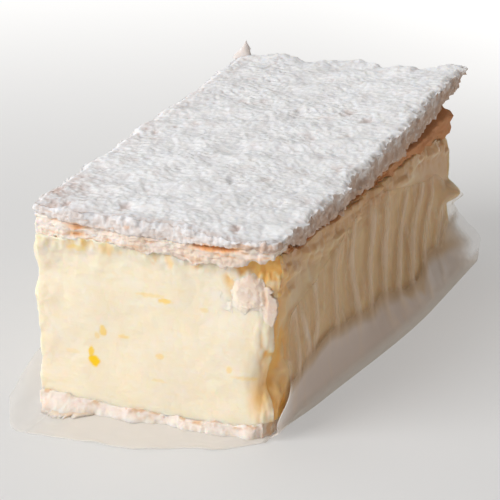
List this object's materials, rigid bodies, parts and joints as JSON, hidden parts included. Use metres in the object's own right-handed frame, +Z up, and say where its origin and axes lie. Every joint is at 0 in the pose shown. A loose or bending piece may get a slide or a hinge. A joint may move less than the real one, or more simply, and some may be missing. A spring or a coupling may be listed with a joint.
{
  "type": "vanilla slice",
  "caption": "Rectangular bakery slice of thick set custard between a thin puff pastry base and a sugar-dusted puff pastry top, on a sheet of greaseproof paper that folds up one side.",
  "frame": {"origin": "under the middle of the slice, on the flat underside of the paper", "axes": "+Z up, +Y along the slice from its cut front face to its back, +X towards the side that the paper folds up"},
  "size_m": [0.0661, 0.1366, 0.0487],
  "materials": {
    "greaseproof_paper": "satin",
    "baked_pastry": "matte",
    "set_custard": "satin",
    "sugared_pastry": "matte"
  },
  "bodies": {
    "root": {"paper": "greaseproof_paper", "base_pastry": "baked_pastry", "custard": "set_custard", "top_pastry": "sugared_pastry", "corner_flake": "baked_pastry"}
  },
  "joints": []
}
